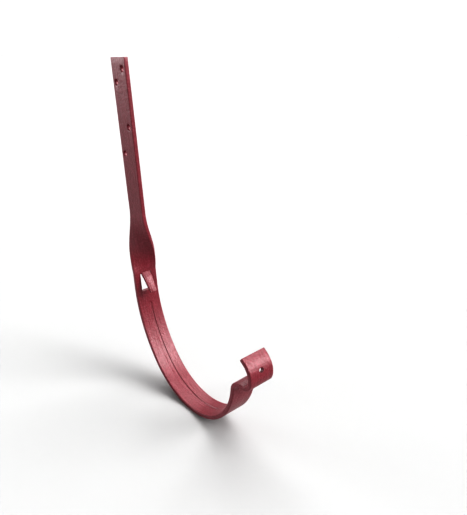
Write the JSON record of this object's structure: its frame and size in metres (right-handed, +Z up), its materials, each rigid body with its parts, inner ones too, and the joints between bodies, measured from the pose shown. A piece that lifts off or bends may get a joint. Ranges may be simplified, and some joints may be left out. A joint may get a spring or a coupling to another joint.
{
  "type": "gutter bracket",
  "caption": "Bent flat-bar bracket that carries a half-round gutter: its twisted stem screws to the side of a rafter and its hook holds the gutter's front bead.",
  "frame": {"origin": "on the face that lies against the rafter, on the stem's centre line, level with the top screw hole", "axes": "+Z up the stem, +X away from the wall to the gutter's front, +Y along the gutter and into the rafter"},
  "size_m": [0.1913, 0.0252, 0.3278],
  "materials": {
    "red_paint": "satin powder paint, wine red"
  },
  "bodies": {
    "root": {"gutter_bracket": "red_paint"}
  },
  "joints": []
}
